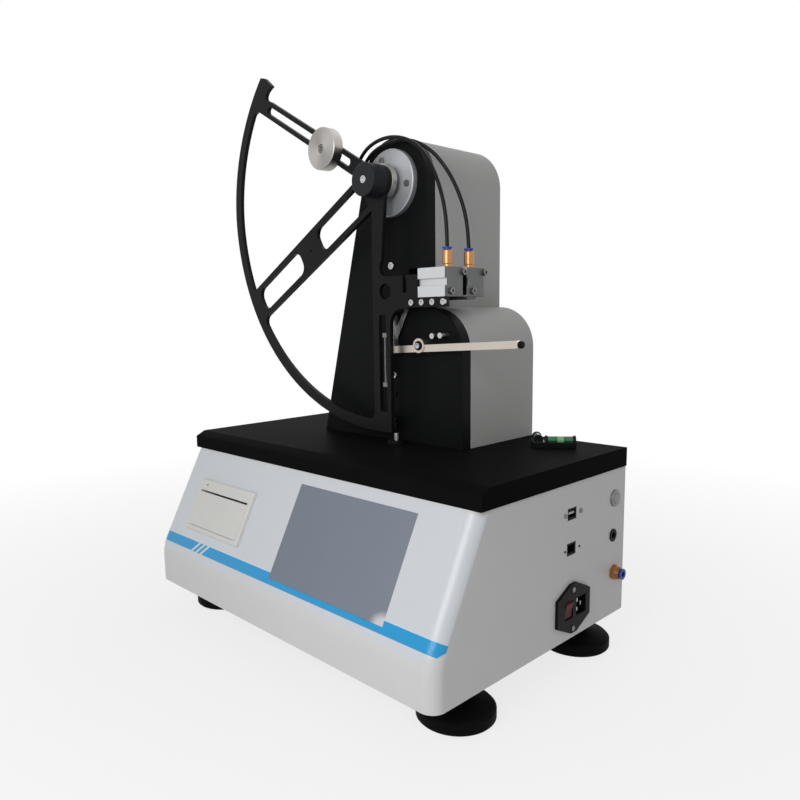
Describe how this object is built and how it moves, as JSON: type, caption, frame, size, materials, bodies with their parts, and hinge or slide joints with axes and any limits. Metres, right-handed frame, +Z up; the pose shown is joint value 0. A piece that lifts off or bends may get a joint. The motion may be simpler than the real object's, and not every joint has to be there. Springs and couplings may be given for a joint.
{
  "type": "pendulum tear tester",
  "caption": "Falling-pendulum tear tester: sector pendulum on a tower, paired pneumatic clamps, slitting knife, sloping-panel base with screen and printer.",
  "frame": {"origin": "on the floor, below the middle of the instrument's bounding box", "axes": "+X to the right across the front panel, +Y to the back, +Z up; the pendulum's axis lies along Y"},
  "size_m": [0.492, 0.3092, 0.6653],
  "materials": {
    "white_paint": "satin white",
    "black_plate": "semi-gloss black",
    "black_anodised": "satin black anodised",
    "pale_cover": "fine textured light grey",
    "zinc_sheet": "zinc plated",
    "panel_film": "printed film with a blue stripe",
    "screen_glass": "blue-grey glass",
    "dark_plastic": "matt black",
    "cream_plastic": "cream",
    "paper": "white paper",
    "red_plastic": "dark red translucent",
    "steel": "machined",
    "silver_alloy": "turned and natural anodised",
    "brass": "plain brass",
    "blue_plastic": "blue",
    "rubber": "black",
    "green_fluid": "green fluid behind clear plastic",
    "board_green": "circuit board",
    "black_tube": "polyurethane tube"
  },
  "bodies": {
    "base": {"air_fitting": "brass", "base_casing": "white_paint", "bearing_flange": "silver_alloy", "bearings": "steel", "bottom_plate": "zinc_sheet", "clamp_bracket": "silver_alloy", "control_board": "board_green", "data_socket": "dark_plastic", "display_module": "dark_plastic", "encoder": "dark_plastic", "fixed_air_tube": "black_tube", "fixed_cylinder": "silver_alloy", "fixed_fitting": "brass", "fixed_jaw_block": "silver_alloy", "front_film": "panel_film", "knife_guide": "silver_alloy", "knife_pivot_screws": "steel", "level_body": "dark_plastic", "level_vials": "green_fluid", "pendulum_air_tube": "black_tube", "power_inlet": "dark_plastic", "power_supply": "zinc_sheet", "printer_housing": "cream_plastic", "push_button_body": "steel", "round_socket": "dark_plastic", "solenoid_valve": "dark_plastic", "stop_actuator": "dark_plastic", "stop_bushing": "silver_alloy", "top_plate": "black_plate", "touch_screen": "screen_glass", "tower_cover": "pale_cover", "tower_front_plate": "black_plate", "tower_screws": "steel", "usb_socket": "steel"},
    "pendulum": {"pendulum_plate": "black_anodised", "hub_cap": "black_anodised", "pendulum_shaft": "steel", "pendulum_jaw_block": "silver_alloy", "pendulum_cylinder": "silver_alloy", "pendulum_screws": "steel", "pendulum_fitting": "brass", "stop_lug": "steel"},
    "counterweight": {"counterweight": "steel"},
    "pendulum_moving_jaw": {"pendulum_moving_jaw": "silver_alloy"},
    "pendulum_collet": {"pendulum_collet": "blue_plastic"},
    "fixed_moving_jaw": {"fixed_moving_jaw": "silver_alloy"},
    "fixed_collet": {"fixed_collet": "blue_plastic"},
    "knife_lever": {"knife_lever": "steel"},
    "knife_slider": {"knife_slider": "silver_alloy", "knife_blade": "steel"},
    "stop_pin": {"stop_pin": "steel"},
    "printer_door": {"printer_door": "cream_plastic"},
    "paper_roll": {"paper_roll": "paper"},
    "power_rocker": {"power_rocker": "red_plastic"},
    "push_button_cap": {"push_button_cap": "steel"},
    "air_collet": {"air_collet": "blue_plastic"},
    "front_left_foot": {"front_left_foot": "rubber"},
    "front_right_foot": {"front_right_foot": "rubber"},
    "rear_left_foot": {"rear_left_foot": "rubber"},
    "rear_right_foot": {"rear_right_foot": "rubber"}
  },
  "joints": [
    {"name": "pendulum_swing", "type": "hinge", "parent": "base", "child": "pendulum", "pos_m": [0.024, 0, 0.5005], "axis": [0, -1, 0], "range_deg": [0, 120], "deforming": ["pendulum_air_tube"]},
    {"name": "counterweight_slide", "type": "slide", "parent": "pendulum", "child": "counterweight", "axis": [-0.859, 0, 0.512], "range_m": [-0.03, 0.124]},
    {"name": "pendulum_jaw_slide", "type": "slide", "parent": "pendulum", "child": "pendulum_moving_jaw", "axis": [-1, 0, 0], "range_m": [0, 0.0055], "stiffness_N_per_m": 400},
    {"name": "fixed_jaw_slide", "type": "slide", "parent": "base", "child": "fixed_moving_jaw", "axis": [-1, 0, 0], "range_m": [0, 0.0055], "stiffness_N_per_m": 400},
    {"name": "pendulum_collet_slide", "type": "slide", "parent": "pendulum", "child": "pendulum_collet", "axis": [0, 0, -1], "range_m": [0, 0.0012], "stiffness_N_per_m": 300},
    {"name": "fixed_collet_slide", "type": "slide", "parent": "base", "child": "fixed_collet", "axis": [0, 0, -1], "range_m": [0, 0.0012], "stiffness_N_per_m": 300},
    {"name": "air_collet_slide", "type": "slide", "parent": "base", "child": "air_collet", "axis": [-1, 0, 0], "range_m": [0, 0.0012], "stiffness_N_per_m": 300},
    {"name": "knife_lever_pivot", "type": "hinge", "parent": "base", "child": "knife_lever", "pos_m": [0.0717, 0.012, 0.3262], "axis": [0, 1, 0], "range_deg": [0, 27.3]},
    {"name": "knife_slide", "type": "slide", "parent": "base", "child": "knife_slider", "axis": [0, 0, 1], "range_m": [0, 0.02]},
    {"name": "stop_pin_slide", "type": "slide", "parent": "base", "child": "stop_pin", "axis": [0, 0, 1], "range_m": [0, 0.008]},
    {"name": "printer_door_hinge", "type": "hinge", "parent": "base", "child": "printer_door", "pos_m": [-0.114, -0.14106, 0.1176], "axis": [1, 0, 0], "range_deg": [0, 85]},
    {"name": "paper_roll_turn", "type": "hinge", "parent": "base", "child": "paper_roll", "pos_m": [-0.114, -0.10138, 0.12089], "axis": [1, 0, 0], "continuous": true},
    {"name": "power_rocker_hinge", "type": "hinge", "parent": "base", "child": "power_rocker", "pos_m": [0.2335, 0.0424, 0.0718], "axis": [0, -1, 0], "range_deg": [0, 14]},
    {"name": "push_button_slide", "type": "slide", "parent": "base", "child": "push_button_cap", "axis": [-1, 0, 0], "range_m": [0, 0.002], "stiffness_N_per_m": 500},
    {"name": "front_left_foot_turn", "type": "hinge", "parent": "base", "child": "front_left_foot", "pos_m": [-0.18, -0.0826, 0.02], "axis": [0, 0, 1], "continuous": true},
    {"name": "front_right_foot_turn", "type": "hinge", "parent": "base", "child": "front_right_foot", "pos_m": [0.199, -0.0826, 0.02], "axis": [0, 0, 1], "continuous": true},
    {"name": "rear_left_foot_turn", "type": "hinge", "parent": "base", "child": "rear_left_foot", "pos_m": [-0.18, 0.1189, 0.02], "axis": [0, 0, 1], "continuous": true},
    {"name": "rear_right_foot_turn", "type": "hinge", "parent": "base", "child": "rear_right_foot", "pos_m": [0.199, 0.1189, 0.02], "axis": [0, 0, 1], "continuous": true}
  ],
  "couplings": [
    {"joint": "knife_slide", "follows": "knife_lever_pivot", "m_per_rad": 0.041954}
  ]
}
